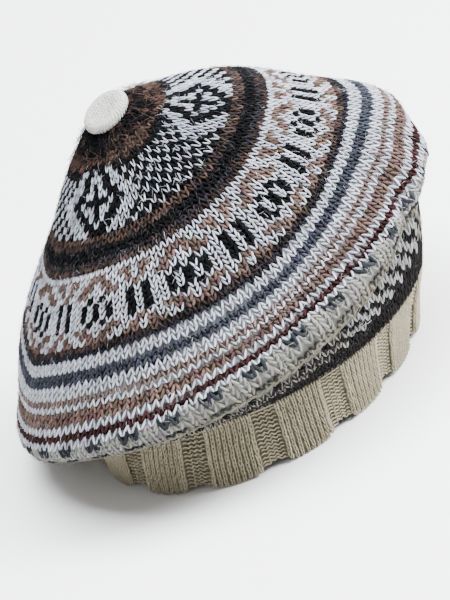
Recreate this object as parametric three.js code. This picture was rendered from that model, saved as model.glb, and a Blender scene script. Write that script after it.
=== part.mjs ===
import * as THREE from "three";

// A knitted tam: lengths in millimetres, +Z up, the band stands on z = 0.
// The side that faces the viewer is -Y, and azimuths are counted from +X towards +Y.

const FACETS = 96; // steps round the crown and the underside
const CROWN_WALL = 3.2; // stranded knitting, two yarns thick
const BAND_WALL = 3.4; // ribbed knitting, at the raised panels
const GAP = 0.3; // clear space between neighbouring pieces
const FOLD_ROW = 9.5; // knitting row at which the outer fold turns from underside to crown
const TIP_ROW = 67; // knitting row at the tip
const SEAM = 0.06; // half the space left at a seam, in rows

const RIB_REPEATS = 16; // one wide and one narrow panel each
const RIB_SHARE = 1 / 3; // share of a repeat that the narrow panel takes
const RIB_DEPTH = 1.3; // how far a narrow panel lies behind a wide one
const RIB_START = -94; // azimuth of the middle of one narrow panel, degrees
const RIB_FLARE = 0.5; // how much deeper the panels are at the lower edge

const BUTTON_RADIUS = 11.2;
const BUTTON_THICKNESS = 5.2;
const BUTTON_DISH = 0.7; // how far the middle of the face lies below its rim
const BUTTON_FACETS = 40;
const BUTTON_LEAN = { x: -0.33, y: -0.22 }; // slope of the button's face

// One line for each section round the hat, from the foot of the band to the tip. row counts knitted rows up
// from the top of the band. radius and height are those of the outer surface; shiftX and shiftY move the
// middle of the section; riseX and riseY tilt it (rise in height for each millimetre along X or Y).
// ovalX and ovalXY make it oval, lobeC and lobeS three-sided; sag2C to sag3S let its edge hang in waves of
// two and three round the hat.
const SECTIONS = [
  { row: -10, radius: 89.0, height: 0, shiftX: 0, shiftY: 0, riseX: 0, riseY: 0,
    ovalX: -6.2, ovalXY: 2.6, lobeC: 2.0, lobeS: 0.9, sag2C: 0, sag2S: 0, sag3C: 0, sag3S: 0 },
  { row: -5, radius: 89.2, height: 15.5, shiftX: 1.7, shiftY: -1.2, riseX: 0, riseY: 0.01,
    ovalX: -3.4, ovalXY: 1.4, lobeC: 1.0, lobeS: 0.5, sag2C: 0, sag2S: 0, sag3C: 0, sag3S: 0 },
  { row: 0, radius: 90.3, height: 30.3, shiftX: 3.5, shiftY: -2.8, riseX: 0, riseY: 0.02,
    ovalX: 0, ovalXY: 0, lobeC: 0, lobeS: 0, sag2C: 0, sag2S: 0, sag3C: 0, sag3S: 0 },
  { row: 5, radius: 100.6, height: 36.2, shiftX: 1.3, shiftY: -1.7, riseX: 0.105, riseY: -0.01,
    ovalX: -1.3, ovalXY: 0.3, lobeC: 0.3, lobeS: 0.6, sag2C: -1.0, sag2S: 1.2, sag3C: 0.8, sag3S: -1.9 },
  { row: 9.5, radius: 109.9, height: 40.8, shiftX: -0.6, shiftY: -0.7, riseX: 0.219, riseY: -0.033,
    ovalX: -2.4, ovalXY: 0.5, lobeC: 0.6, lobeS: 1.1, sag2C: -2.6, sag2S: 2.4, sag3C: 1.7, sag3S: -3.9 },
  { row: 14, radius: 114.8, height: 52.2, shiftX: 0.7, shiftY: 1.1, riseX: 0.222, riseY: -0.041,
    ovalX: -1.1, ovalXY: 0.4, lobeC: 1.2, lobeS: 0.8, sag2C: -2.9, sag2S: 1.2, sag3C: 0.8, sag3S: -2.8 },
  { row: 18.5, radius: 106.2, height: 63.9, shiftX: 1.8, shiftY: 2.6, riseX: 0.235, riseY: -0.031,
    ovalX: 0.9, ovalXY: 0.5, lobeC: 1.9, lobeS: 1.5, sag2C: -0.3, sag2S: 2.2, sag3C: 2.0, sag3S: -2.9 },
  { row: 24.5, radius: 95.3, height: 77.7, shiftX: 1.1, shiftY: 3.7, riseX: 0.257, riseY: -0.024,
    ovalX: 1.0, ovalXY: 1.2, lobeC: 1.0, lobeS: 1.7, sag2C: 0.2, sag2S: 2.9, sag3C: 2.7, sag3S: -2.4 },
  { row: 35.5, radius: 77.6, height: 101.5, shiftX: 0, shiftY: 2.2, riseX: 0.281, riseY: 0.007,
    ovalX: -1.8, ovalXY: 0.9, lobeC: -0.3, lobeS: 1.2, sag2C: -0.8, sag2S: 2.8, sag3C: 1.4, sag3S: -1.2 },
  { row: 47.5, radius: 50.9, height: 123.9, shiftX: -3.9, shiftY: 2.0, riseX: 0.323, riseY: 0.044,
    ovalX: 0.4, ovalXY: 0.4, lobeC: -1.2, lobeS: 0.9, sag2C: 0.7, sag2S: 1.6, sag3C: -0.1, sag3S: -0.7 },
  { row: 57.5, radius: 26.6, height: 141.6, shiftX: -8.3, shiftY: 2.1, riseX: 0.333, riseY: 0.06,
    ovalX: 0, ovalXY: -0.2, lobeC: -0.9, lobeS: 0.7, sag2C: 0.4, sag2S: 0.6, sag3C: -0.1, sag3S: -0.5 },
  { row: 62.5, radius: 13.4, height: 149.2, shiftX: -10.3, shiftY: 2.0, riseX: 0.333, riseY: 0.14,
    ovalX: 0, ovalXY: 0, lobeC: 0, lobeS: 0, sag2C: 0, sag2S: 0, sag3C: 0, sag3S: 0 },
  { row: 67, radius: 0, height: 150.6, shiftX: -11.3, shiftY: 1.9, riseX: 0.333, riseY: 0.18,
    ovalX: 0, ovalXY: 0, lobeC: 0, lobeS: 0, sag2C: 0, sag2S: 0, sag3C: 0, sag3S: 0 },
];

// Folds that cross the rim: the knitting steps out on one side of the azimuth and in on the other.
// width is the azimuth from the middle to the deepest point, in degrees; it fades out at rowLow and rowHigh.
const PLEATS = [
  { azimuth: -28.5, depth: 3.0, width: 4.6, rowLow: 3, rowMiddle: 14, rowHigh: 25 },
  { azimuth: 44, depth: 1.6, width: 8, rowLow: 6, rowMiddle: 18, rowHigh: 32 },
];

// Fuller places of the crown. width is the azimuth from the middle to where six tenths of the height are
// left, in degrees; they fade out at rowLow and rowHigh.
const BULGES = [
  { azimuth: 160, height: 8.5, width: 24, rowLow: 14, rowMiddle: 31, rowHigh: 51 },
  { azimuth: 9, height: 5.6, width: 17, rowLow: 14.8, rowMiddle: 20.5, rowHigh: 33 },
];

const COLUMNS = Object.keys(SECTIONS[0]).filter((name) => name !== "row");

// The value of every column at a knitting row, on a smooth line through the table.
function sectionAt(row) {
  const last = SECTIONS.length - 1;
  let low = 0;
  while (low < last - 1 && SECTIONS[low + 1].row < row) {
    low += 1;
  }
  const span = SECTIONS[low + 1].row - SECTIONS[low].row;
  const part = (row - SECTIONS[low].row) / span;
  const steepness = (name, index) => {
    const before = Math.max(index - 1, 0);
    const after = Math.min(index + 1, last);
    const rise = SECTIONS[after][name] - SECTIONS[before][name];
    return rise / (SECTIONS[after].row - SECTIONS[before].row);
  };
  const square = part * part;
  const cube = square * part;
  const result = {};
  for (const name of COLUMNS) {
    result[name] =
      (2 * cube - 3 * square + 1) * SECTIONS[low][name] +
      (cube - 2 * square + part) * span * steepness(name, low) +
      (3 * square - 2 * cube) * SECTIONS[low + 1][name] +
      (cube - square) * span * steepness(name, low + 1);
  }
  return result;
}

// Share of a fold or a bulge that is left at a row.
function shareAtRow(row, { rowLow, rowMiddle, rowHigh }) {
  const half = row < rowMiddle ? rowMiddle - rowLow : rowHigh - rowMiddle;
  return Math.max(0, 1 - ((row - rowMiddle) / half) ** 2) ** 2;
}

// Turn from the middle of a fold or a bulge to an azimuth, in widths.
function turnsFromMiddle(azimuth, { azimuth: middle, width }) {
  return (THREE.MathUtils.euclideanModulo(azimuth - middle + 180, 360) - 180) / width;
}

// How far the folds and bulges push the knitting outwards at a row and an azimuth.
function reliefPush(row, azimuth) {
  let push = 0;
  for (const pleat of PLEATS) {
    const reach = turnsFromMiddle(azimuth, pleat);
    push += pleat.depth * shareAtRow(row, pleat) * reach * Math.exp(0.5 - 0.5 * reach * reach);
  }
  for (const bulge of BULGES) {
    const reach = turnsFromMiddle(azimuth, bulge);
    push += bulge.height * shareAtRow(row, bulge) * Math.exp(-0.5 * reach * reach);
  }
  return push;
}

// A point of the hat's outer surface.
function surfacePoint(row, azimuth, push = 0) {
  const at = sectionAt(row);
  const turn = THREE.MathUtils.degToRad(azimuth);
  const out =
    at.radius +
    at.ovalX * Math.cos(2 * turn) + at.ovalXY * Math.sin(2 * turn) +
    at.lobeC * Math.cos(3 * turn) + at.lobeS * Math.sin(3 * turn) +
    reliefPush(row, azimuth) + push;
  const x = out * Math.cos(turn);
  const y = out * Math.sin(turn);
  const sag =
    at.sag2C * Math.cos(2 * turn) + at.sag2S * Math.sin(2 * turn) +
    at.sag3C * Math.cos(3 * turn) + at.sag3S * Math.sin(3 * turn);
  return new THREE.Vector3(at.shiftX + x, at.shiftY + y, at.height + at.riseX * x + at.riseY * y + sag);
}

// The surface's direction outwards at a row and an azimuth.
function surfaceNormal(row, azimuth) {
  const along = surfacePoint(row + 0.4, azimuth).sub(surfacePoint(row - 0.4, azimuth));
  const round = surfacePoint(row, azimuth + 1.5).sub(surfacePoint(row, azimuth - 1.5));
  return round.cross(along).normalize();
}

// A closed solid from rings of points that follow one another and join up at the end.
function solidFromRings(rings) {
  const size = rings[0].length;
  const positions = rings.flat().flatMap((point) => [point.x, point.y, point.z]);
  const faces = [];
  for (let ring = 0; ring < rings.length; ring += 1) {
    const next = (ring + 1) % rings.length;
    for (let step = 0; step < size; step += 1) {
      const follow = (step + 1) % size;
      const a = ring * size + step;
      const b = ring * size + follow;
      const c = next * size + follow;
      const d = next * size + step;
      faces.push(a, b, c, a, c, d);
    }
  }
  const geometry = new THREE.BufferGeometry();
  geometry.setAttribute("position", new THREE.Float32BufferAttribute(positions, 3));
  geometry.setIndex(faces);
  return geometry;
}

// A closed solid from rings that run from one pole to the other.
function solidFromPoleToPole(firstPole, rings, lastPole) {
  const size = rings[0].length;
  const points = [...rings.flat(), firstPole, lastPole];
  const positions = points.flatMap((point) => [point.x, point.y, point.z]);
  const first = points.length - 2;
  const last = points.length - 1;
  const top = (rings.length - 1) * size;
  const faces = [];
  for (let step = 0; step < size; step += 1) {
    const follow = (step + 1) % size;
    faces.push(first, follow, step);
    faces.push(last, top + step, top + follow);
    for (let ring = 0; ring + 1 < rings.length; ring += 1) {
      const a = ring * size + step;
      const b = ring * size + follow;
      const c = (ring + 1) * size + follow;
      const d = (ring + 1) * size + step;
      faces.push(a, b, c, a, c, d);
    }
  }
  const geometry = new THREE.BufferGeometry();
  geometry.setAttribute("position", new THREE.Float32BufferAttribute(positions, 3));
  geometry.setIndex(faces);
  return geometry;
}

// A ring of points round the hat, moved inwards by a wall's thickness. Both sides of the seam at the fold
// take the wall's direction from the fold itself, so that their edges stay parallel.
function ringAt(row, inward) {
  const directionRow = Math.abs(row - FOLD_ROW) < 0.5 ? FOLD_ROW : row;
  return Array.from({ length: FACETS }, (_, step) => {
    const azimuth = (360 * step) / FACETS;
    return surfacePoint(row, azimuth).addScaledVector(surfaceNormal(directionRow, azimuth), -inward);
  });
}

function piece(name, geometry, color, roughness) {
  const material = new THREE.MeshStandardMaterial({ color, roughness, metalness: 0 });
  geometry.computeVertexNormals();
  const mesh = new THREE.Mesh(geometry, material);
  mesh.name = name;
  return mesh;
}

// Crown: outside from the fold to the tip, then back down the inside.
function crownGeometry() {
  const rows = [FOLD_ROW + SEAM, 11, 12.5, 14, 16, 18.5, 21.5, 24.5, 28, 32, 36, 40, 44, 48, 52, 56, 60, 63.5, 65.8];
  const outside = rows.map((row) => ringAt(row, 0));
  const insideRows = [FOLD_ROW + SEAM, 11.5, 14, 17, 21, 26, 32, 38, 44, 50, 56, 61, 65];
  const inside = insideRows.map((row) => ringAt(row, CROWN_WALL));
  const top = surfacePoint(TIP_ROW, 0);
  const below = top.clone().addScaledVector(new THREE.Vector3(-0.333, -0.18, 1).normalize(), -CROWN_WALL);
  return solidFromPoleToPole(below, [...inside.reverse(), ...outside], top);
}

// Underside: from the top of the band out to the fold.
function undersideGeometry() {
  const rows = [SEAM, 2.5, 5, 7.5, FOLD_ROW - SEAM];
  const outside = rows.map((row) => ringAt(row, 0));
  const inside = rows.map((row) => ringAt(row, CROWN_WALL));
  return solidFromRings([...outside, ...inside.reverse()]);
}

// How far the outer face of the band lies behind its raised panels.
function ribSink(azimuth) {
  const share = THREE.MathUtils.euclideanModulo((azimuth - RIB_START) / (360 / RIB_REPEATS) + 0.5, 1) - 0.5;
  const edge = Math.abs(share) / (RIB_SHARE / 2);
  return edge < 0.9 ? 1 : edge > 1.1 ? 0 : (1.1 - edge) / 0.2;
}

function bandGeometry() {
  const rows = [-10, -8.2, -5, -2, -SEAM];
  const shares = [-0.5, -0.36, -0.185, -0.148, 0, 0.148, 0.185, 0.36];
  const azimuths = [];
  for (let repeat = 0; repeat < RIB_REPEATS; repeat += 1) {
    for (const share of shares) {
      azimuths.push(RIB_START + ((repeat + share) * 360) / RIB_REPEATS);
    }
  }
  const outside = rows.map((row) =>
    azimuths.map((azimuth) => {
      const flare = 1 + RIB_FLARE * Math.max(0, -row / 10);
      return surfacePoint(row, azimuth, -RIB_DEPTH * flare * ribSink(azimuth));
    }),
  );
  const inside = [-10, -5, -SEAM].map((row) =>
    azimuths.map((azimuth) => surfacePoint(row, azimuth, -BAND_WALL - RIB_DEPTH * 0.4)),
  );
  return solidFromRings([...outside, ...inside.reverse()]);
}

// Button: a flat round pad with a rounded edge and a slightly dished face.
function buttonGeometry() {
  const profile = [
    { radius: 8.6, height: 0 },
    { radius: 10.4, height: 0.9 },
    { radius: BUTTON_RADIUS, height: 2.6 },
    { radius: 10.6, height: 4.2 },
    { radius: 9.0, height: BUTTON_THICKNESS },
    { radius: 6.6, height: BUTTON_THICKNESS - 0.1 },
    { radius: 3.4, height: BUTTON_THICKNESS - BUTTON_DISH * 0.8 },
  ];
  const up = new THREE.Vector3(BUTTON_LEAN.x, BUTTON_LEAN.y, 1).normalize();
  const turn = new THREE.Quaternion().setFromUnitVectors(new THREE.Vector3(0, 0, 1), up);
  const seat = surfacePoint(TIP_ROW, 0).addScaledVector(up, GAP);
  const place = (x, y, z) => new THREE.Vector3(x, y, z).applyQuaternion(turn).add(seat);
  const rings = profile.map(({ radius, height }) =>
    Array.from({ length: BUTTON_FACETS }, (_, step) => {
      const angle = (2 * Math.PI * step) / BUTTON_FACETS;
      return place(radius * Math.cos(angle), radius * Math.sin(angle), height);
    }),
  );
  return solidFromPoleToPole(place(0, 0, 0), rings, place(0, 0, BUTTON_THICKNESS - BUTTON_DISH));
}

const hat = new THREE.Group();
hat.name = "knitted_tam";
hat.add(piece("crown", crownGeometry(), 0x8f8780, 0.95));
hat.add(piece("underside", undersideGeometry(), 0x2f2928, 0.95));
hat.add(piece("rib_band", bandGeometry(), 0xcfc8b6, 0.9));
hat.add(piece("top_button", buttonGeometry(), 0xdcd9d2, 0.85));

// The row frame's origin is the middle of the bounding box in X and Y, at the foot of the band.
const box = new THREE.Box3().setFromObject(hat);
const middle = box.getCenter(new THREE.Vector3());
for (const mesh of hat.children) {
  mesh.geometry.translate(-middle.x, -middle.y, -box.min.z);
}

export default hat;
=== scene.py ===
import math
import bpy
import numpy as np
from mathutils import Matrix, Vector


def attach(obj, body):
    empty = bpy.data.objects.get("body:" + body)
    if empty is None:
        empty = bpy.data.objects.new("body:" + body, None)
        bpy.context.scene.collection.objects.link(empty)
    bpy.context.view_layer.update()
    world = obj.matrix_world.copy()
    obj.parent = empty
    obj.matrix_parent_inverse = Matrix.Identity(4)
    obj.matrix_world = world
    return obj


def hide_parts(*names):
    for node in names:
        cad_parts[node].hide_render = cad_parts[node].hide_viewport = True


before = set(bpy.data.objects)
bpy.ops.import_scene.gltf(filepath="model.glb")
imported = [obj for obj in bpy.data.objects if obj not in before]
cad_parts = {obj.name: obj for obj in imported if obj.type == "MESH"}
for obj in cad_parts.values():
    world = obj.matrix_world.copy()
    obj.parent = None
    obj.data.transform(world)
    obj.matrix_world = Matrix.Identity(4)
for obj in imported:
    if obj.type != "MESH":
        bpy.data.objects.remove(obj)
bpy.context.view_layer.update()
print("frame loaded")


# ---- shape of the hat, the same surface as the solids, in millimetres

hat = {
    "columns": "row radius height shiftX shiftY riseX riseY ovalX ovalXY lobeC lobeS sag2C sag2S sag3C sag3S",
    "sections": [
        (-10, 89.0, 0, 0, 0, 0, 0, -6.2, 2.6, 2.0, 0.9, 0, 0, 0, 0),
        (-5, 89.2, 15.5, 1.7, -1.2, 0, 0.01, -3.4, 1.4, 1.0, 0.5, 0, 0, 0, 0),
        (0, 90.3, 30.3, 3.5, -2.8, 0, 0.02, 0, 0, 0, 0, 0, 0, 0, 0),
        (5, 100.6, 36.2, 1.3, -1.7, 0.105, -0.01, -1.3, 0.3, 0.3, 0.6, -1.0, 1.2, 0.8, -1.9),
        (9.5, 109.9, 40.8, -0.6, -0.7, 0.219, -0.033, -2.4, 0.5, 0.6, 1.1, -2.6, 2.4, 1.7, -3.9),
        (14, 114.8, 52.2, 0.7, 1.1, 0.222, -0.041, -1.1, 0.4, 1.2, 0.8, -2.9, 1.2, 0.8, -2.8),
        (18.5, 106.2, 63.9, 1.8, 2.6, 0.235, -0.031, 0.9, 0.5, 1.9, 1.5, -0.3, 2.2, 2.0, -2.9),
        (24.5, 95.3, 77.7, 1.1, 3.7, 0.257, -0.024, 1.0, 1.2, 1.0, 1.7, 0.2, 2.9, 2.7, -2.4),
        (35.5, 77.6, 101.5, 0, 2.2, 0.281, 0.007, -1.8, 0.9, -0.3, 1.2, -0.8, 2.8, 1.4, -1.2),
        (47.5, 50.9, 123.9, -3.9, 2.0, 0.323, 0.044, 0.4, 0.4, -1.2, 0.9, 0.7, 1.6, -0.1, -0.7),
        (57.5, 26.6, 141.6, -8.3, 2.1, 0.333, 0.06, 0, -0.2, -0.9, 0.7, 0.4, 0.6, -0.1, -0.5),
        (62.5, 13.4, 149.2, -10.3, 2.0, 0.333, 0.14, 0, 0, 0, 0, 0, 0, 0, 0),
        (67, 0, 150.6, -11.3, 1.9, 0.333, 0.18, 0, 0, 0, 0, 0, 0, 0, 0),
    ],
    "pleats": [  # azimuth, depth, width, lowest row, middle row, highest row
        (-28.5, 3.0, 4.6, 3, 14, 25),
        (44, 1.6, 8, 6, 18, 32),
    ],
    "bulges": [  # azimuth, height, width, lowest row, middle row, highest row
        (160, 8.5, 24, 14, 31, 51),
        (9, 5.6, 17, 14.8, 20.5, 33),
        # small ones that only the stitches show
        (-8, 3.4, 7, 9.6, 13.6, 19),
        (150, 2.4, 40, 46, 55, 64),
        (-10, 2.2, 14, -14, 1, 12),
    ],
    "middle": (1.9, -0.083),
    "front": -90,  # azimuth of the side in the photograph
    "foldRow": 9.5, "tipRow": 67, "bandRows": 10, "ribRepeats": 16, "ribMiddle": -94, "ribDepth": 1.3,
    "ribFlare": 0.5,  # how much deeper the sunk panels are at the foot
    "ribEdge": 0.40,  # the share of ribShare where a sunk panel starts, and how soon it reaches its depth
    "ribSlope": 0.12, "edgeLift": 3.8, "edgePower": 1.3,
}
normalSteps = {"row": 0.3, "azimuth": 1.2, "belowTip": 0.6}

columnNames = hat["columns"].split()
sectionTable = np.array(hat["sections"], float)
tableRows = sectionTable[:, 0]


def sectionAt(row):
    row = np.asarray(row, float)
    last = len(tableRows) - 1
    low = np.clip(np.searchsorted(tableRows, row, side="left") - 1, 0, last - 1)
    span = (tableRows[low + 1] - tableRows[low])[..., None]
    part = ((row - tableRows[low]) / span[..., 0])[..., None]
    before = np.maximum(np.arange(last + 1) - 1, 0)
    after = np.minimum(np.arange(last + 1) + 1, last)
    slopes = (sectionTable[after] - sectionTable[before]) / (tableRows[after] - tableRows[before])[:, None]
    square = part * part
    cube = square * part
    values = (
        (2 * cube - 3 * square + 1) * sectionTable[low]
        + (cube - 2 * square + part) * span * slopes[low]
        + (3 * square - 2 * cube) * sectionTable[low + 1]
        + (cube - square) * span * slopes[low + 1]
    )
    return {name: values[..., index] for index, name in enumerate(columnNames)}


def ribShare(azimuth):  # 0 in the middle of a narrow panel, 1 in the middle of a wide one
    turn = (azimuth - hat["ribMiddle"]) * hat["ribRepeats"] / 360
    return np.abs((turn + 0.5) % 1 - 0.5) * 2


def surfacePoint(row, azimuth):
    row, azimuth = np.broadcast_arrays(np.asarray(row, float), azimuth)
    at = sectionAt(row)
    turn = np.radians(azimuth)
    out = at["radius"] + at["ovalX"] * np.cos(2 * turn) + at["ovalXY"] * np.sin(2 * turn)
    out = out + at["lobeC"] * np.cos(3 * turn) + at["lobeS"] * np.sin(3 * turn)
    for kind in ("pleats", "bulges"):
        for middle, height, width, lowRow, midRow, highRow in hat[kind]:
            half = np.where(row < midRow, midRow - lowRow, highRow - midRow)
            fade = np.maximum(0, 1 - ((row - midRow) / half) ** 2) ** 2
            reach = ((azimuth - middle + 180) % 360 - 180) / width
            if kind == "pleats":
                form = reach * np.exp(0.5 - 0.5 * reach * reach)
            else:
                form = np.exp(-0.5 * reach * reach)
            out = out + height * fade * form
    low = np.clip(-row / hat["bandRows"], 0, 1)  # 1 at the foot of the band
    sunk = np.clip((hat["ribEdge"] - ribShare(azimuth)) / hat["ribSlope"], 0, 1)
    out = out - hat["ribDepth"] * (1 + hat["ribFlare"] * low) * sunk * np.clip(-row * 2, 0, 1)
    x = out * np.cos(turn)
    y = out * np.sin(turn)
    sag = at["sag2C"] * np.cos(2 * turn) + at["sag2S"] * np.sin(2 * turn)
    sag = sag + at["sag3C"] * np.cos(3 * turn) + at["sag3S"] * np.sin(3 * turn)
    z = at["height"] + at["riseX"] * x + at["riseY"] * y + sag
    lifted = (1 - np.sin(0.5 * np.pi * ribShare(azimuth))) ** hat["edgePower"]
    z = z + hat["edgeLift"] * low**2 * lifted
    middleX, middleY = hat["middle"]
    return np.stack([at["shiftX"] + x - middleX, at["shiftY"] + y - middleY, z], -1)


def surfaceNormal(row, azimuth):
    up, turn = normalSteps["row"], normalSteps["azimuth"]
    row = np.minimum(np.asarray(row, float), hat["tipRow"] - normalSteps["belowTip"])
    along = surfacePoint(row + up, azimuth) - surfacePoint(row - up, azimuth)
    across = surfacePoint(row, azimuth + turn) - surfacePoint(row, azimuth - turn)
    normal = np.cross(across, along)
    return normal / np.linalg.norm(normal, axis=-1, keepdims=True)


def depthPoint(row, azimuth, depth):  # a point that lies depth millimetres under the outer surface
    return surfacePoint(row, azimuth) - surfaceNormal(row, azimuth) * np.asarray(depth, float)[..., None]


# ---- yarns

yarnShades = {  # screen colour of the yarn, looseness of its fibres, thickness against the others
    # the next yarn is white, and its cool tint is painted sky light from above
    "white": ((206, 209, 219), 0.35, 0.98),
    # the next yarn is the white of the rim's lower rows, darkened for painted shade under the fold and warmed
    # for painted warm light from below
    "paintedShadeWhite": ((155, 153, 147), 0.4, 1.05),
    # the next yarn is white, and its cool tint is painted sky light from above
    "fineWhite": ((202, 207, 218), 0.5, 0.78),
    "black": ((9, 11, 17), 0.9, 1.42),
    "brown": ((107, 87, 80), 0.9, 1.3),
    "rust": ((80, 64, 57), 1.0, 1.05),
    "chestnut": ((86, 65, 57), 1.0, 1.1),
    "darkBrown": ((54, 45, 44), 1.0, 1.1),
    "charcoal": ((40, 39, 45), 1.0, 1.1),
    "slate": ((65, 67, 77), 0.8, 1.15),
    "taupe": ((130, 110, 105), 0.5, 0.9),
    "maroon": ((60, 36, 35), 0.7, 1.08),
    "grey": ((46, 49, 54), 0.6, 1.0),
    "umber": ((31, 28, 28), 0.6, 1.15),
    # the next two yarns are one ecru yarn, darkened where its specks lie in shade and paler where they are
    # lit: painted shade and painted light
    "shadedEcru": ((128, 124, 116), 0.5, 0.80),
    "litEcru": ((166, 165, 162), 0.6, 1.0),
    # the next yarn is the white of the rim's edge row, darkened: painted shade of the fold
    "paintedShadeEdgeWhite": ((134, 131, 123), 0.4, 1.0),
    # the next yarn is the white at the fold, darkened and tinted beige: painted shade of the fold
    "paintedShadeFoldWhite": ((122, 118, 105), 0.4, 1.0),
    "cream": ((196, 185, 157), 0.3, 1.0),
    "offWhite": ((224, 221, 214), 0.15, 1.0),
}
shadeNames = list(yarnShades)


def toLinear(shade):
    value = np.array(shade, float) / 255
    return np.where(value <= 0.04045, value / 12.92, ((value + 0.055) / 1.055) ** 2.4)


yarnStrength = 0.60  # the soft light brightens the yarns, so they are darker than their screen colours
brightest = 0.95
shadeLinear = np.array([toLinear(yarnShades[name][0]) for name in shadeNames]) * yarnStrength
shadeColors = dict(zip(shadeNames, shadeLinear))
shadeFluff = np.array([yarnShades[name][1] for name in shadeNames])
shadeWidth = np.array([yarnShades[name][2] for name in shadeNames])

chart = {
    "crownFirst": 10, "rowEnd": 67,
    "ringCount": 132,  # stitches of a row that no other entry counts
    "plainRows": {  # the others are white
        1.0: "umber", 2.3: "umber", 3.6: "umber", 10: "paintedShadeFoldWhite", 12: "paintedShadeWhite", 13: "paintedShadeWhite", 16: "maroon",
        18: "brown", 19: "brown", 21: "taupe", 24: "slate", 25: "slate", 28: "charcoal", 29: "darkBrown",
        42: "darkBrown", 43: "charcoal", 44: "black", 45: "black", 46: "darkBrown", 47: "rust",
        57: "chestnut", 58: "chestnut", 59: "rust", **dict.fromkeys(range(60, 67), "black"),
    },
    "flecks": {  # another yarn that shows in some stitches of a row, and its share
        29: ("rust", 0.25), 42: ("rust", 0.3), 43: ("darkBrown", 0.3), 46: ("rust", 0.45),
        47: ("darkBrown", 0.3), 57: ("black", 0.35), 58: ("rust", 0.4), 59: ("black", 0.5),
        60: ("chestnut", 0.25), 61: ("rust", 0.2), 63: ("chestnut", 0.2), 65: ("rust", 0.3),
    },
    # one repeat of twelve stitches, from the middle of the double bar; w white, b brown, k black
    "crossFirst": 30,
    "crossRows": (
        "wbbwwbbbwwbb", "wbwwbbwbbwwb", "bwwbbwwwbbww", "wkwwwkwkwwwk", "wkwwkwkwkwwk", "wkwwkwkwkwwk",
        "wkwwkwkwkwwk", "wkwwwkwkwwwk", "bwwbbwwwbbww", "wbwwbbwbbwwb", "wbbwwbbbwwbb", "wwwwwwwwwwww",
    ),
    "crossCount": 120, "crossStart": -132.0,
    "crossBow": (1.8, -40),  # degrees, and the azimuth where it is greatest
    "ringCounts": {42: 120, 43: 110, 44: 102, 45: 96, 46: 88, 47: 80},
    # one repeat of three stitches; e the ecru specks, with painted shade and, at the right side, painted
    # light; d dark
    "netFirst": 1.0,
    "netRows": {4.9: "edd", 6.2: "dee", 7.5: "edd", 8.8: "dee"},
    "netCount": 159, "netStart": -78.6, "netPitch": 1.3,
    "netPaintedShadow": (-108, -87),  # azimuths between which the net's specks are painted dark: painted shadow under the fold's overhang
    "netPaintedLight": (-66, -22),  # azimuths between which the specks are painted paler: painted light
    # the yarn on the wall behind a row, where it isn't the row's own; the dark slate behind the cross rows is
    # painted shade in the gaps between their white stitches
    "behind": {
        11: "paintedShadeEdgeWhite", **dict.fromkeys(range(30, 42), "slate"), **dict.fromkeys(range(48, 57), "black"),
    },
    "wheelRows": (48, 56), "wheelCentres": (-134.8, -22.2, 103),
    "wheelSteps": (4, 3, 2, 1, 0, 1, 2, 2, 3),  # how far each row's outline lies inside the widest row's
    "wheelRing": (4, 5), "wheelRim": 7, "wheelArm": 2,
    "wheelCounts": (26, 28, 28),  # stitches from each medallion's middle to the next
    "wheelBow": 2.0,
    "motifRows": {11: "paintedShadeEdgeWhite", 14: "paintedShadeWhite"},  # grey stitches in pairs, on this yarn
    "motifStitches": (0, 3), "motifRepeat": 4, "tipStitch": 4.0, "fleckSeed": 3,
    "pullAzimuths": (-165, -120, -95, -72, -55, -35, -5, 15, 105, 168, 195),
    "pull": [  # row, then how many rows the knitting is pulled up at each azimuth
        (0, *[0] * 11),
        (9.5, 0, 0.3, 1.05, 0.8, -0.1, -0.2, -0.1, -0.1, 0, 0, 0),
        (11, -0.1, 0.2, 0.55, 0.6, 0.3, -0.2, -0.15, -0.1, 0, 0, -0.1),
        (12, -0.1, 0.1, 0.6, 0.8, 0.4, -0.3, 0, 0.4, 0, 0, -0.1),
        (15, -0.3, 0.1, 0.75, 1.15, 0.35, -0.4, 0.45, 0.9, 0, 0, -0.3),
        (18, -0.7, 0, 0.75, 1.4, 0.6, -0.35, 0.8, 1.3, 0, 0, -0.7),
        (21, -0.9, -0.5, -0.1, 0.25, 0.3, -0.15, 0.6, 1.3, 0, 1.0, -0.9),
        (25, -0.35, -0.6, -0.55, -0.6, -0.25, 0, 0.15, 1.1, 0, 5.0, -0.35),
        (30, -0.1, -0.35, -0.35, -0.45, -0.35, -0.1, 0.15, 0.6, 0, 4.3, -0.1),
        (36, -0.1, -0.15, -0.15, -0.15, -0.15, 0, 0.1, 0.3, 0, 3.0, -0.1),
        (42, 0.25, 0.75, 0.9, 0.9, 0.65, 0.45, 0.1, -0.2, 0, 1.8, 0.25),
        (48, 0.1, 0.3, 0.4, 0.35, 0.25, 0.15, -0.2, -0.4, 0, 0.6, 0.1),
        (50, 0.3, 0.4, 0.4, 0.4, 0.35, 0.25, 0, 0, 0.3, 0.5, 0.3),
        (52, 0.6, 0.75, 0.8, 0.8, 0.7, 0.6, 0.4, 0.3, 0.6, 0.6, 0.6),
        (56, 1.2, 1.3, 1.3, 1.3, 1.2, 1.1, 0.9, 0.9, 1.2, 1.2, 1.2),
        (58, 0.9, 0.9, 0.9, 0.8, 0.8, 0.7, 0.6, 0.6, 0.9, 0.9, 0.9),
        (61, 0.3, 0.3, 0.3, 0.2, 0.2, 0.2, 0.2, 0.2, 0.3, 0.3, 0.3),
        (66.7, *[0] * 11),
    ],
}
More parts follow.
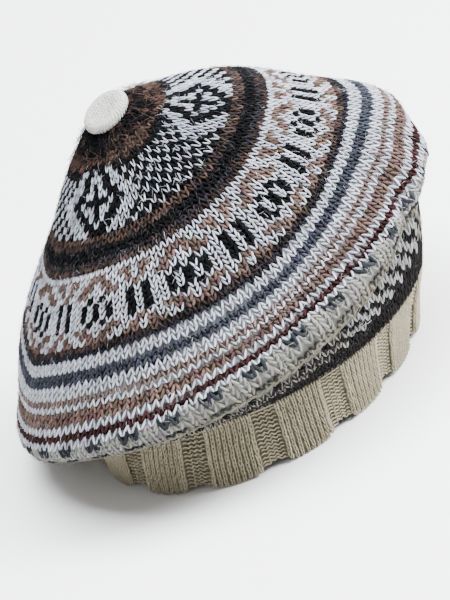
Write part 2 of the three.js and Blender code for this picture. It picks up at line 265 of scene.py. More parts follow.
# degrees that the rim's knitted columns lie further on, and lean by a row below leanTop
rimShift = {
    "leanTop": 14.5,
    "azimuths": (-165, -120, -95, -72, -55, -35, -5, 15, 105, 195),
    "bow": (0, 0, 0, 0.9, 2.4, 4.0, 4.5, 4.5, 2.0, 0),
    "lean": (0, 0.2, 0.6, 0.6, 1.0, 1.1, 0.6, 0, 0, 0),
}
letterShades = {"w": "white", "b": "brown", "k": "black", "e": "shadedEcru", "d": "umber"}

pullTable = np.array(chart["pull"])
pullPlaces = np.array(chart["pullAzimuths"], float)


def easedPlace(knots, value):  # the knot below a value, and the eased share of the way to the next one
    low = np.clip(np.searchsorted(knots, value, side="right") - 1, 0, len(knots) - 2)
    part = np.clip((value - knots[low]) / (knots[low + 1] - knots[low]), 0, 1)
    return low, part * part * (3 - 2 * part)


def fabricRow(row, azimuth):  # where a knitted row lies on the surface, for the knitting is pulled unevenly
    row, azimuth = np.broadcast_arrays(np.asarray(row, float), np.asarray(azimuth, float))
    column, part = easedPlace(pullPlaces, (azimuth - pullPlaces[0]) % 360 + pullPlaces[0])
    line, rise = easedPlace(pullTable[:, 0], row)
    low, high = (
        pullTable[at, column + 1] * (1 - part) + pullTable[at, column + 2] * part for at in (line, line + 1)
    )
    return row + low * (1 - rise) + high * rise


def knitPoint(row, azimuth, depth):
    return depthPoint(fabricRow(row, azimuth), azimuth, depth)


def knitNormal(row, azimuth):
    return surfaceNormal(fabricRow(row, azimuth), azimuth)


def rimShiftAt(azimuth, kind):
    first = rimShift["azimuths"][0]
    return np.interp((azimuth - first) % 360 + first, rimShift["azimuths"], rimShift[kind])


def wheelShade(across, up):  # across counts stitches from a medallion's centre line, up counts rows
    steps, arm = chart["wheelSteps"], chart["wheelArm"]
    reach, aside = across + steps[up], abs(up - len(steps) // 2)
    if reach in chart["wheelRing"] or (across == 0 and aside <= arm) or (aside == 0 and across <= arm):
        return "black"
    if reach <= chart["wheelRim"]:
        return "fineWhite"
    return "black" if (across + up) % 2 or up == len(steps) - 1 else "fineWhite"


def stitchesOfRow(row):  # azimuth, spacing in degrees and yarn of each stitch
    if chart["wheelRows"][0] <= row <= chart["wheelRows"][1]:
        up = row - chart["wheelRows"][0]
        found = []
        for index, (centre, count) in enumerate(zip(chart["wheelCentres"], chart["wheelCounts"])):
            reach = (chart["wheelCentres"][(index + 1) % 3] - centre) % 360
            spacing = reach / count
            for c in range(count):
                bow = chart["wheelBow"] * math.sin(math.pi * c / count)
                found.append((centre + spacing * c + bow, spacing, wheelShade(min(c, count - c), up)))
        return found
    if chart["crossFirst"] <= row < chart["crossFirst"] + len(chart["crossRows"]):
        letters = chart["crossRows"][row - chart["crossFirst"]]
        spacing = 360 / chart["crossCount"]
        bow, top = chart["crossBow"]
        found = []
        for i in range(chart["crossCount"]):
            place = chart["crossStart"] + spacing * i
            place += bow * math.cos(math.radians(place - top))
            found.append((place, spacing, letterShades[letters[(i + len(letters) // 2) % len(letters)]]))
        return found
    start = hat["front"]
    if row < chart["crownFirst"]:
        count, start = chart["netCount"], chart["netStart"]
    elif row > chart["wheelRows"][1]:
        count = max(6, round(2 * math.pi * float(sectionAt(row)["radius"]) / chart["tipStitch"]))
    else:
        count = chart["ringCounts"].get(row, chart["ringCount"])
    spacing = 360 / count
    if row >= chart["crownFirst"]:
        start += spacing / 2
    random = np.random.default_rng(chart["fleckSeed"] + round(row * 10))
    other, share = chart["flecks"].get(row, ("", 0))
    found = []
    for i in range(count):
        place = start + spacing * i
        if chart["crownFirst"] <= row < chart["crossFirst"]:
            lean = rimShiftAt(place, "lean") * max(0, rimShift["leanTop"] - row)
            place = place + rimShiftAt(place, "bow") + lean
        shade = chart["plainRows"].get(row, "white")
        if random.random() < share:
            shade = other
        if row in chart["motifRows"]:
            grey = i % chart["motifRepeat"] in chart["motifStitches"]
            shade = "grey" if grey else chart["motifRows"][row]
        if row in chart["netRows"]:
            shade = letterShades[chart["netRows"][row][i % 3]]
            # painted shadow: specks under the fold's overhang take the dark yarn
            if chart["netPaintedShadow"][0] < place < chart["netPaintedShadow"][1]:
                shade = "umber"
            # painted light: specks on the lit side take the paler ecru
            elif shade == "shadedEcru" and chart["netPaintedLight"][0] < place < chart["netPaintedLight"][1]:
                shade = "litEcru"
        found.append((place, spacing, shade))
    return found


netRows = [round(chart["netFirst"] + chart["netPitch"] * i, 1) for i in range(7)]
knitRows = netRows + list(range(chart["crownFirst"], chart["rowEnd"]))
allStitches = {row: stitchesOfRow(row) for row in knitRows}
rowPlaces = {row: np.array([stitch[0] for stitch in found]) for row, found in allStitches.items()}
print("chart read:", sum(len(found) for found in allStitches.values()), "stitches")


def shadeAt(row, azimuth):  # index of the yarn that lies at a row and an azimuth
    known = knitRows[int(np.abs(np.array(knitRows) - row).argmin())]
    gap = np.abs((azimuth - rowPlaces[known] + 180) % 360 - 180)
    shade = allStitches[known][int(gap.argmin())][2]
    if shade not in ("brown", "black"):
        shade = chart["behind"].get(known, shade)
    return shadeNames.index(shade)


# ---- helpers for node trees and meshes


def feedNode(node, inputs):  # an input takes a link from another node, or a value
    for name, value in inputs.items():
        socket = node.inputs[name]
        if isinstance(value, bpy.types.NodeSocket):
            node.id_data.links.new(value, socket)
        else:
            socket.default_value = value


def addNode(tree, kind, inputs=None, **values):
    node = tree.nodes.new(kind)
    for name, value in values.items():
        setattr(node, name, value)
    feedNode(node, inputs or {})
    return node


def addMath(tree, operation, *values):
    return addNode(tree, "ShaderNodeMath", dict(enumerate(values)), operation=operation).outputs[0]


def newGroup(name, kind, sockets):
    tree = bpy.data.node_groups.new(name, kind)
    for label, direction, value, default in sockets:
        socket = tree.interface.new_socket(label, in_out=direction, socket_type="NodeSocket" + value)
        if default is not None:
            socket.default_value = default
    return tree, tree.nodes.new("NodeGroupInput"), tree.nodes.new("NodeGroupOutput")


def plainMesh(name, points, faces=()):
    mesh = bpy.data.meshes.new(name)
    mesh.from_pydata((np.asarray(points) * 0.001).tolist(), [], [list(face) for face in faces])
    mesh.update()
    return mesh


def setAttribute(mesh, name, kind, domain, values):
    layer = mesh.attributes.new(name, kind, domain)
    values = np.asarray(values, np.float32)
    if kind == "FLOAT_COLOR":
        values = np.concatenate([values, np.ones((len(values), 1), np.float32)], 1)
    field = {"FLOAT_COLOR": "color", "FLOAT_VECTOR": "vector"}.get(kind, "value")
    layer.data.foreach_set(field, values.ravel())


def paintedMesh(name, points, faces, colors):  # smooth, with a colour on every face
    mesh = plainMesh(name, points, faces)
    setAttribute(mesh, "yarnColor", "FLOAT_COLOR", "FACE", colors)
    mesh.polygons.foreach_set("use_smooth", np.ones(len(mesh.polygons), bool))
    return mesh


def addObject(name, data):
    piece = bpy.data.objects.new(name, data)
    bpy.context.scene.collection.objects.link(piece)
    return piece


# ---- materials

woolLook = {
    "slowScale": 160.0, "plyTurns": 2.4, "bumpDistance": 0.0002, "bumpStrength": 0.6, "sheenRoughness": 0.6,
}

# Fine fibres and a slow change of shade, both laid over the yarn's own colour.
woolGroup, woolIn, woolOut = newGroup("woolFibres", "ShaderNodeTree", [
    ("Yarn Color", "INPUT", "Color", None),
    ("Fibre Scale", "INPUT", "Float", 2400.0),
    ("Heather", "INPUT", "Float", 0.35),
    ("Color", "OUTPUT", "Color", None),
    ("Height", "OUTPUT", "Float", None),
])
place = addNode(woolGroup, "ShaderNodeTexCoord").outputs["Object"]
fine = addNode(woolGroup, "ShaderNodeTexNoise", {
    "Vector": place, "Scale": woolIn.outputs["Fibre Scale"], "Detail": 3.0,
}).outputs["Fac"]
slow = addNode(woolGroup, "ShaderNodeTexNoise", {
    "Vector": place, "Scale": woolLook["slowScale"], "Detail": 2.0,
}).outputs["Fac"]
shift = addMath(woolGroup, "ADD", addMath(woolGroup, "ADD", fine, slow), -1.0)
scaled = addMath(woolGroup, "MULTIPLY", shift, woolIn.outputs["Heather"])
tinted = addNode(woolGroup, "ShaderNodeVectorMath", {
    0: woolIn.outputs["Yarn Color"], "Scale": addMath(woolGroup, "MULTIPLY_ADD", scaled, 2.0, 1.0),
}, operation="SCALE")
feedNode(woolOut, {"Color": tinted.outputs[0], "Height": fine})

# unevenness of the shade, what loose fibres add to it, roughness, sheen, specular level, twist
yarnFinishes = {
    "crownYarn": (0.25, 0.9, 0.95, 0.01, 0.02, 0.5),
    "bandYarn": (0.18, 0.0, 0.92, 0.03, 0.06, 0.6),
    "buttonYarn": (0.14, 0.0, 0.88, 0.03, 0.10, 0.4),
}


def yarnMaterial(name, twisted=True):
    heather, fluffyHeather, roughness, sheen, specular, twist = yarnFinishes[name]
    material = bpy.data.materials.new(name if twisted else name + "Wall")
    material.use_nodes = True
    tree = material.node_tree
    yarn = addNode(tree, "ShaderNodeAttribute", attribute_name="yarnColor")
    fluff = addNode(tree, "ShaderNodeAttribute", attribute_name="yarnFluff")
    wool = addNode(tree, "ShaderNodeGroup", {
        "Yarn Color": yarn.outputs["Color"],
        "Heather": addMath(tree, "MULTIPLY_ADD", fluff.outputs["Fac"], fluffyHeather, heather),
    }, node_tree=woolGroup)
    height = wool.outputs["Height"]
    if twisted:
        ply = addNode(tree, "ShaderNodeAttribute", attribute_name="plyPlace")
        split = addNode(tree, "ShaderNodeSeparateXYZ", {0: ply.outputs["Vector"]})
        turns = addMath(tree, "MULTIPLY_ADD", split.outputs[1], woolLook["plyTurns"], split.outputs[0])
        wave = addMath(tree, "SINE", addMath(tree, "MULTIPLY", turns, 4 * math.pi))
        height = addMath(tree, "MULTIPLY_ADD", wave, twist, height)
    bump = addNode(tree, "ShaderNodeBump", {
        "Height": height, "Distance": woolLook["bumpDistance"], "Strength": woolLook["bumpStrength"],
    })
    feedNode(tree.nodes["Principled BSDF"], {
        "Roughness": roughness, "Sheen Weight": sheen, "Sheen Roughness": woolLook["sheenRoughness"],
        "Specular IOR Level": specular, "Base Color": wool.outputs["Color"], "Normal": bump.outputs[0],
    })
    return material


crownYarn = yarnMaterial("crownYarn")
bandYarn = yarnMaterial("bandYarn")
buttonYarn = yarnMaterial("buttonYarn")
crownWall = yarnMaterial("crownYarn", twisted=False)
bandWall = yarnMaterial("bandYarn", twisted=False)
print("materials ready")


# ---- geometry trees


def strandTree(name, numbers):
    sockets = [("Geometry", "INPUT", "Geometry", None)]
    for label, value in numbers.items():
        kind = "Int" if isinstance(value, int) else "Float"
        sockets.append((label, "INPUT", kind, value))
    sockets.append(("Material", "INPUT", "Material", None))
    sockets.append(("Geometry", "OUTPUT", "Geometry", None))
    return newGroup(name, "GeometryNodeTree", sockets)


def placeOf(tree):  # x, y and z of a mesh's points
    position = addNode(tree, "GeometryNodeInputPosition")
    return addNode(tree, "ShaderNodeSeparateXYZ", {0: position.outputs[0]}).outputs


def placeStrands(tree, put, out, solid, *place):  # the moved solid on every point, turned by its attributes
    moved = addNode(tree, "ShaderNodeCombineXYZ", dict(enumerate(place)))
    bent = addNode(tree, "GeometryNodeSetPosition", {"Geometry": solid, "Position": moved.outputs[0]})
    axis, face, size = (
        addNode(tree, "GeometryNodeInputNamedAttribute", {"Name": name}, data_type="FLOAT_VECTOR").outputs[0]
        for name in ("strandAxis", "strandFace", "strandSize")
    )
    turned = addNode(tree, "FunctionNodeAxesToRotation", {0: axis, 1: face}, primary_axis="Z",
                     secondary_axis="Y")
    placed = addNode(tree, "GeometryNodeInstanceOnPoints", {
        "Points": put.outputs["Geometry"], "Instance": bent.outputs[0], "Rotation": turned.outputs[0],
        "Scale": size,
    })
    real = addNode(tree, "GeometryNodeRealizeInstances", {0: placed.outputs[0]})
    smooth = addNode(tree, "GeometryNodeSetShadeSmooth", {0: real.outputs[0]})
    painted = addNode(tree, "GeometryNodeSetMaterial", {
        "Geometry": smooth.outputs[0], "Material": put.outputs["Material"],
    })
    tree.links.new(painted.outputs[0], out.inputs[0])


def knitLegTree():  # a bent strand of yarn
    tree, put, out = strandTree("knitLegs", {"Sides": 6, "Rings": 5, "Bend": 0.35, "Fullness": 0.25})
    ball = addNode(tree, "GeometryNodeMeshUVSphere", {
        "Segments": put.outputs["Sides"], "Rings": put.outputs["Rings"],
    })
    x, y, z = placeOf(tree)
    square = addMath(tree, "MULTIPLY", z, z)
    side = addMath(tree, "MULTIPLY", addMath(tree, "SUBTRACT", 1.0, square), put.outputs["Bend"])
    fuller = addMath(tree, "MULTIPLY_ADD", square, put.outputs["Fullness"], 1.0)
    wide = addMath(tree, "MULTIPLY_ADD", x, fuller, side)
    turn = addMath(tree, "DIVIDE", addMath(tree, "ARCTAN2", y, x), 2 * math.pi)
    ply = addNode(tree, "ShaderNodeCombineXYZ", {0: turn, 1: z})
    stored = addNode(tree, "GeometryNodeStoreNamedAttribute", {
        "Geometry": ball.outputs["Mesh"], "Name": "plyPlace", "Value": ply.outputs[0],
    }, data_type="FLOAT_VECTOR", domain="POINT")
    placeStrands(tree, put, out, stored.outputs[0], wide, y, z)
    return tree


knitLegs = knitLegTree()


def growStrands(name, strands, settings, material, tree=knitLegs):
    carrier = plainMesh(name + "Points", strands["at"])
    for key, scale in (("axis", 1), ("face", 1), ("size", 0.001)):
        setAttribute(carrier, "strand" + key.capitalize(), "FLOAT_VECTOR", "POINT", strands[key] * scale)
    setAttribute(carrier, "yarnColor", "FLOAT_COLOR", "POINT", strands["color"])
    if "fluff" in strands:
        setAttribute(carrier, "yarnFluff", "FLOAT", "POINT", strands["fluff"])
    grower = addObject(name + "Grower", carrier)
    modifier = grower.modifiers.new("strands", "NODES")
    modifier.node_group = tree
    values = dict(settings, Material=material)
    for item in tree.interface.items_tree:
        if item.in_out == "INPUT" and item.name in values:
            modifier[item.identifier] = values[item.name]
    ready = grower.evaluated_get(bpy.context.evaluated_depsgraph_get())
    mesh = bpy.data.meshes.new_from_object(ready)
    for spare in {"strandAxis", "strandFace", "strandSize"} & set(mesh.attributes.keys()):
        mesh.attributes.remove(mesh.attributes[spare])
    bpy.data.objects.remove(grower)
    mesh.name = name
    return addObject(name, mesh)


def strandsBetween(low, high, face, width, thickness, overlap, scatter, color):
    axis = high - low
    length = np.linalg.norm(axis, axis=1)
    size = np.stack([width * scatter[0], thickness * scatter[1], (length / 2 + overlap) * scatter[2]], 1)
    return {"at": (low + high) / 2, "axis": axis / length[:, None], "face": face, "size": size,
            "color": np.clip(color, 0, brightest)}


def joinStrands(parts):
    return {key: np.concatenate([part[key] for part in parts]) for key in parts[0]}


# ---- knitted stitches of the crown and the underside

stitchLook = {
    "seed": 11,
    "baseSide": 0.08,  # from the stitch's middle line, in stitch widths
    "topSide": 0.42, "baseRow": -0.54, "topRow": 0.84, "baseDepth": 0.62, "topDepth": 1.70,
    "halfWidth": 0.25, "widthShare": 0.075, "halfThickness": 0.62, "overlap": 0.18,
    "highest": 66.7,  # row
    # row and yarn of stitches that lie differently: lowest and highest row, lower and upper depth, thickness
    "changes": {
        **{(8.8, name): (-0.58, 0.30, 0.62, 2.1, 1.0) for name in ("shadedEcru", "umber", "litEcru")},
        (10, "paintedShadeFoldWhite"): (-0.45, 0.75, 0.90, 1.15, 1.3),
        (11, "paintedShadeEdgeWhite"): (-0.60, 0.75, 0.85, 1.25, 1.25),
        (11, "grey"): (-0.30, 0.02, 0.70, 0.80, 0.95),
        (12, "paintedShadeWhite"): (-0.65, 0.80, 0.80, 1.30, 1.2),
        (13, "paintedShadeWhite"): (-0.55, 0.80, 0.80, 1.35, 1.15),
        (14, "paintedShadeWhite"): (-0.55, 0.85, 0.75, 1.45, 1.1),
        (14, "grey"): (-1.35, 1.05, 0.30, 0.85, 1.6),
    },
    "unevenness": 0.055, "shadeChange": 0.08, "fluffyChange": 1.4, "hueShare": 0.35, "darkest": 0.003,
    "strand": {"Sides": 5, "Rings": 5, "Bend": 0.30, "Fullness": 0.25},
}
foldLook = {  # the smooth edge where the knitting turns under, in the fold's white yarn with painted shade
    "seed": 23, "shade": "paintedShadeFoldWhite", "row": 9.70, "count": 150,
    "slant": 0.22,  # rows
    "reach": 0.62,  # strand spacings
    "depth": 0.80, "halfWidth": 0.72, "halfThickness": 0.62,
    # azimuths between which the edge gets flatter, towards the right side, and round again at the back
    "fade": (-78, -52, 150, 180), "flattest": 0.45,
    "unevenness": {"azimuth": 0.08, "row": 0.04, "size": 0.06},
    "shadeChange": 0.06,
}


def foldStrands(look):
    random = np.random.default_rng(look["seed"])
    count, uneven = look["count"], look["unevenness"]
    spacing = 360 / count
    azimuth = hat["front"] + spacing * (np.arange(count) + random.normal(0, uneven["azimuth"], count))
    row = look["row"] + random.normal(0, uneven["row"], count)
    low = knitPoint(row - look["slant"], azimuth - look["reach"] * spacing, look["depth"])
    high = knitPoint(row + look["slant"], azimuth + look["reach"] * spacing, look["depth"])
    around = (azimuth + 180) % 360 - 180
    flat = np.interp(around, look["fade"], (1, look["flattest"], look["flattest"], 1))
    scatter = flat * (1 + random.normal(0, uneven["size"], (2, count)))
    color = shadeColors[look["shade"]] * (1 + look["shadeChange"] * random.normal(0, 1, (count, 1)))
    scatter = (*scatter, 1)
    face = knitNormal(row, azimuth)
    strands = strandsBetween(low, high, face, look["halfWidth"], look["halfThickness"], 0, scatter, color)
    return strands | {"fluff": np.full(count, yarnShades[look["shade"]][1])}


def stitchStrands(rows, look, seed):
    random = np.random.default_rng(seed)
    found = [(row, *stitch[:2], shadeNames.index(stitch[2])) for row in rows for stitch in allStitches[row]]
    row, azimuth, spacing, shade = np.array(found, float).T
    shade = shade.astype(int)
    usual = (look["baseRow"], look["topRow"], look["baseDepth"], look["topDepth"], 1.0)
    lay = [look["changes"].get((number, shadeNames[index]), usual) for number, index in zip(row, shade)]
    lowRow, highRow, lowDepth, highDepth, thickness = np.array(lay).T
    color, thick = shadeLinear[shade], shadeWidth[shade]
    pitch = np.where(row < chart["crownFirst"], chart["netPitch"], 1.0)
    row = row + random.normal(0, look["unevenness"], len(row))
    azimuth = azimuth + spacing * random.normal(0, look["unevenness"], len(row))
    stitchWidth = np.radians(spacing) * sectionAt(row)["radius"]
    lean = rimShiftAt(azimuth, "lean") * ((row > hat["foldRow"]) & (row < rimShift["leanTop"]))
    parts = []
    for side in (-1, 1):
        lowAzimuth = azimuth + side * look["baseSide"] * spacing - lean * lowRow
        highAzimuth = azimuth + side * look["topSide"] * spacing - lean * highRow
        low = knitPoint(row + lowRow * pitch, lowAzimuth, lowDepth)
        high = knitPoint(np.minimum(row + highRow * pitch, look["highest"]), highAzimuth, highDepth)
        scatter = 1 + random.normal(0, look["unevenness"], (3, len(row)))
        width = (look["halfWidth"] + look["widthShare"] * stitchWidth) * thick * thickness
        change = look["shadeChange"] * (1 + look["fluffyChange"] * shadeFluff[shade])[:, None]
        grey = random.normal(0, 1, (len(row), 1))
        tone = 1 + change * (grey + look["hueShare"] * random.normal(0, 1, (len(row), 3)))
        face = knitNormal(row, azimuth) * -side
        yarn = np.maximum(color * tone, look["darkest"])
        parts.append(strandsBetween(
            low, high, face, width, look["halfThickness"], look["overlap"], scatter, yarn,
        ) | {"fluff": shadeFluff[shade]})
    return joinStrands(parts)


stitchPieces = {  # first row, the row after the last, node of the solids, slot
    "undersideStitches": (0, 10, "underside", "underside_knit"),
    "rimStitches": (10, 20, "crown", "crown_knit"),
    "stripeStitches": (20, 31, "crown", "crown_knit"),
    "crossStitches": (31, 43, "crown", "crown_knit"),
    "wheelStitches": (43, 67, "crown", "crown_knit"),
}
for index, (name, (first, last, node, slot)) in enumerate(stitchPieces.items()):
    rows = [row for row in knitRows if first <= row < last]
    strands = stitchStrands(rows, stitchLook, stitchLook["seed"] + index)
    if name == "rimStitches":
        strands = joinStrands([strands, foldStrands(foldLook)])
    piece = growStrands(name, strands, stitchLook["strand"], crownYarn)
    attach(piece, "root")
    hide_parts(node)
    print(name, len(piece.data.polygons), "faces")


# ---- loose fibres that stand off the darker yarns

fibreLook = {
    "seed": 71, "perStitch": 2.5, "tipPerStitch": 8.0, "tipRow": 58, "length": (2.0, 4.5),
    "tipLength": (4.0, 9.0), "halfWidth": 0.055, "rowReach": (-0.5, 0.8),
    "highest": 66.2,  # row
    "depth": 0.4, "rise": 0.35, "riseReach": (0.1, 1.3),
    "rooted": 0.42,  # the share of its length that lies behind a fibre's middle
    "brighter": 1.1, "toneSpread": 0.45,
    "paleness": (0.075, 0.078, 0.085),  # the light that fine fibres catch, added to the yarn's colour
    "tipPaleness": 0.15, "brightest": 0.9,
    "curlReach": 40.0,  # half-widths
    "tree": {"Sides": 3, "Steps": 2, "Curl": 0.22},
}


def looseFibreTree():  # a thin curved fibre
    tree, put, out = strandTree("looseFibres", {"Sides": 3, "Steps": 3, "Curl": 0.22})
    tube = addNode(tree, "GeometryNodeMeshCylinder", {
        "Vertices": put.outputs["Sides"], "Side Segments": put.outputs["Steps"], "Radius": 1.0, "Depth": 2.0,
    })
    x, y, z = placeOf(tree)
    curled = addMath(tree, "MULTIPLY", addMath(tree, "MULTIPLY", z, z), put.outputs["Curl"])
    aside = addMath(tree, "MULTIPLY_ADD", curled, -fibreLook["curlReach"], y)
    placeStrands(tree, put, out, tube.outputs["Mesh"], x, aside, z)
    return tree


def fibreStrands(look):
    random = np.random.default_rng(look["seed"])
    grown = []
    for number, found in allStitches.items():
        atTip = number >= look["tipRow"]
        lengths = look["tipLength"] if atTip else look["length"]
        for place, step, name in found:
            fluff = yarnShades[name][1]
            count = random.poisson(fluff * (look["tipPerStitch"] if atTip else look["perStitch"]))
            grown.append((
                number + random.uniform(*look["rowReach"], count),
                place + step * random.uniform(-0.5, 0.5, count),
                np.full(count, shadeNames.index(name)), random.uniform(*lengths, count),
            ))
    row, azimuth, shade, long = (np.concatenate(each) for each in zip(*grown))
    row = np.minimum(row, look["highest"])
    normal = knitNormal(row, azimuth)
    across = surfacePoint(row, azimuth + 1.0) - surfacePoint(row, azimuth - 1.0)
    across /= np.linalg.norm(across, axis=1, keepdims=True)
    upward = np.cross(normal, across)
    swing = random.normal(0, 1.0, len(row))[:, None]
    flat = np.sin(swing) * across + np.cos(swing) * upward * random.choice([-1, 1], len(row))[:, None]
    axis = flat + look["rise"] * random.uniform(*look["riseReach"], len(row))[:, None] * normal
    axis /= np.linalg.norm(axis, axis=1, keepdims=True)
    start = knitPoint(row, azimuth, look["depth"])
    tone = look["brighter"] * np.exp(random.normal(0, look["toneSpread"], len(row)))[:, None]
    pale = random.uniform(0, 1, (len(row), 1)) ** 2 * np.array(look["paleness"])
    pale *= np.where(row < look["tipRow"] - 1, 1, look["tipPaleness"])[:, None]
    width = np.full(len(row), look["halfWidth"])
    size = np.stack([width, width, long / 2], 1)
    color = np.clip(shadeLinear[shade] * tone + pale, 0, look["brightest"])
    return {"at": start + axis * (long * look["rooted"])[:, None], "axis": axis, "face": normal, "size": size,
            "color": color}


looseFibres = looseFibreTree()
fibres = growStrands("looseFibres", fibreStrands(fibreLook), fibreLook["tree"], crownYarn, looseFibres)
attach(fibres, "root")
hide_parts("crown", "underside")
print("looseFibres", len(fibres.data.polygons), "faces")


# ---- walls behind the stitches, with the wrong side of the knitting inside

fold = hat["foldRow"]
wallLook = {
    "outerDepth": 1.7, "crownInner": 3.2, "bandInner": 3.4, "columns": 264, "lowest": 0.1,
    "tops": (0, fold, 14.5),  # the rows where the band, the underside and the rim end
    "shadows": (0.42, 0.34, 0.75, 0.34),  # the share of the yarn's shade behind each of them, and above
    "tipShadow": 0.34, "tipRow": 66, "inside": 0.8,
    "highest": 66.6,  # row
    "searchSteps": 8, "searchShare": 0.5,
}


def wallMesh(name, outerRows, innerRows, innerDepth, closedTip, shadeOf):
    look = wallLook
    columns = look["columns"]
    azimuths = hat["front"] + 360 * np.arange(columns) / columns
    rings = [depthPoint(row, azimuths, look["outerDepth"]) for row in outerRows]
    rings += [depthPoint(row, azimuths, innerDepth) for row in reversed(innerRows)]
    marks = [(row, look["shadows"][np.searchsorted(look["tops"], row, side="right")]) for row in outerRows]
    marks += [(row, look["inside"]) for row in reversed(innerRows)]
    points = np.concatenate(rings)
    faces, colors = [], []
    along = azimuths + 180 / columns
    steps = [(step, (step + 1) % columns) for step in range(columns)]
    for ring, low in enumerate(marks):
        after = (ring + 1) % len(marks)
        if closedTip and ring == len(outerRows) - 1:
            continue
        high = marks[after]
        colors.append(shadeOf((low[0] + high[0]) / 2, along) * (high[1] if high[0] < low[0] else low[1]))
        near, far = ring * columns, after * columns
        faces += [(near + step, near + follow, far + follow, far + step) for step, follow in steps]
    if closedTip:
        tip = surfacePoint(hat["tipRow"], 0.0)
        outer, inner = len(points), len(points) + 1
        points = np.concatenate([points, [tip - (0, 0, look["outerDepth"]), tip - (0, 0, innerDepth)]])
        near, far = (len(outerRows) - 1) * columns, len(outerRows) * columns
        faces += [(near + step, near + follow, outer) for step, follow in steps]
        faces += [(far + follow, far + step, inner) for step, follow in steps]
        colors += [shadeOf(look["tipRow"], along) * look["tipShadow"]] * 2
    points[:, 2] = np.maximum(points[:, 2], look["lowest"])
    return paintedMesh(name, points, faces, np.concatenate(colors))


def knitShade(row, azimuths):  # the yarn on the wall right behind the stitches
    chartRow = np.full(len(azimuths), float(row))
    for _ in range(wallLook["searchSteps"]):
        missed = row - fabricRow(chartRow, azimuths)
        chartRow = np.clip(chartRow + wallLook["searchShare"] * missed, 0, wallLook["highest"])
    picked = [shadeAt(each, azimuth) for each, azimuth in zip(chartRow, azimuths)]
    return shadeLinear[np.array(picked)]


def creamShade(row, azimuths):
    return np.tile(shadeColors["cream"], (len(azimuths), 1))


wallPieces = {
    "crownWall": (
        np.append(fold + 0.05, np.arange(10.5, 66.6, 1.0)), np.append(fold + 0.05, np.arange(12, 66, 2.0)),
        wallLook["crownInner"], True, knitShade, crownWall, "crown", "crown_knit",
    ),
    "undersideWall": (
        np.append(np.arange(0.1, 9, 1.1), fold - 0.05), np.array([0.1, 2.5, 5, 7.5, fold - 0.05]),
        wallLook["crownInner"], False, knitShade, crownWall, "underside", "underside_knit",
    ),
    "bandLining": (
        np.array([-9.8, -9, -8, -6.5, -5, -3.5, -2, -1, -0.05]), np.array([-9.8, -8, -5, -2.5, -0.05]),
        wallLook["bandInner"], False, creamShade, bandWall, "rib_band", "band_rib",
    ),
}
for name, (outer, inner, depth, tip, shadeOf, material, node, slot) in wallPieces.items():
    piece = addObject(name, wallMesh(name, list(outer), list(inner), depth, tip, shadeOf))
    piece.data.materials.append(material)
    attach(piece, "root")
    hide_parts(node)
    print(name, len(piece.data.polygons), "faces")


# ---- ribbed band: nine knit columns, then four sunk purl columns

bandLook = {
    "seed": 31, "columns": 13, "purlColumns": (0, 1, 11, 12), "firstRow": -0.35, "rowPitch": 0.667,
    "rowCount": 15, "shade": "cream",
    "knit": {
        "baseSide": 0.08, "topSide": 0.27, "baseRow": -0.42, "topRow": 0.50, "baseDepth": 0.45,
        "topDepth": 1.25, "halfWidth": 0.37, "halfThickness": 0.66, "overlap": 0.12, "rows": (-9.85, 0.3),
    },
    "edgeColumns": (2, 10), "edgeGrowth": 1.3,
    "purl": {
        "halfWidth": 0.42, "halfThickness": 0.50, "reach": 0.36, "rise": 0.05, "squeeze": 1.06,
        "overlap": 0.1, "depth": 0.7, "bowDepth": 0.2, "rows": (-9.7, -0.1),
    },
    "unevenness": 0.05, "shadeChange": 0.05,
    "strand": {"Sides": 5, "Rings": 4, "Bend": 0.30, "Fullness": 0.25},
    "purlStrand": {"Sides": 5, "Rings": 5, "Bend": 1.30, "Fullness": 0.1},
}


def bandStrands(look, purlSide):
    random = np.random.default_rng(look["seed"] + purlSide)
    columns, pitch, uneven = look["columns"], look["rowPitch"], look["unevenness"]
    knit, purl = look["knit"], look["purl"]
    step = 360 / (hat["ribRepeats"] * columns)
    cream = shadeColors[look["shade"]]
    wale = np.arange(hat["ribRepeats"] * columns)
    wale = wale[np.isin(wale % columns, look["purlColumns"]) == purlSide]
    grown = np.where(np.isin(wale % columns, look["edgeColumns"]), look["edgeGrowth"], 1.0)
    fromMiddle = (wale + 0.5 + columns / 2) % columns - columns / 2
    places = hat["ribMiddle"] + step * (wale + 0.5)
    parts = []

    def addPart(low, high, face, kind, width):
        scatter = 1 + random.normal(0, uneven, (3, len(low)))
        color = cream * (1 + look["shadeChange"] * random.normal(0, 1, (len(low), 1)))
        parts.append(strandsBetween(
            low, high, face, width, kind["halfThickness"], kind["overlap"], scatter, color,
        ))

    for number in range(look["rowCount"]):
        azimuth = places + step * random.normal(0, uneven, len(places))
        row = look["firstRow"] - pitch * number + pitch * random.normal(0, uneven, len(places))
        normal = surfaceNormal(row, azimuth)
        if purlSide:
            azimuth = azimuth - step * fromMiddle * (1 - purl["squeeze"])
            for half in (0, 1):  # the heads of the loops, then the bows between them
                kept = fromMiddle < 1 + purl["squeeze"] - half
                middle = azimuth[kept] + half * step * purl["squeeze"] / 2
                level = np.clip(row[kept] + half * purl["rise"], *purl["rows"])
                depth = purl["depth"] + purl["bowDepth"] * half
                low = depthPoint(level, middle - step * purl["reach"], depth)
                high = depthPoint(level, middle + step * purl["reach"], depth)
                addPart(low, high, normal[kept] * (1 - 2 * half), purl, purl["halfWidth"])
            continue
        for side in (-1, 1):
            lowRow = np.clip(row + knit["baseRow"], knit["rows"][0], 0)
            low = depthPoint(lowRow, azimuth + side * knit["baseSide"] * step, knit["baseDepth"] / grown)
            highRow = np.minimum(row + knit["topRow"], knit["rows"][1])
            high = depthPoint(highRow, azimuth + side * knit["topSide"] * step, knit["topDepth"] / grown)
            addPart(low, high, normal * -side, knit, knit["halfWidth"] * grown)
    return joinStrands(parts)


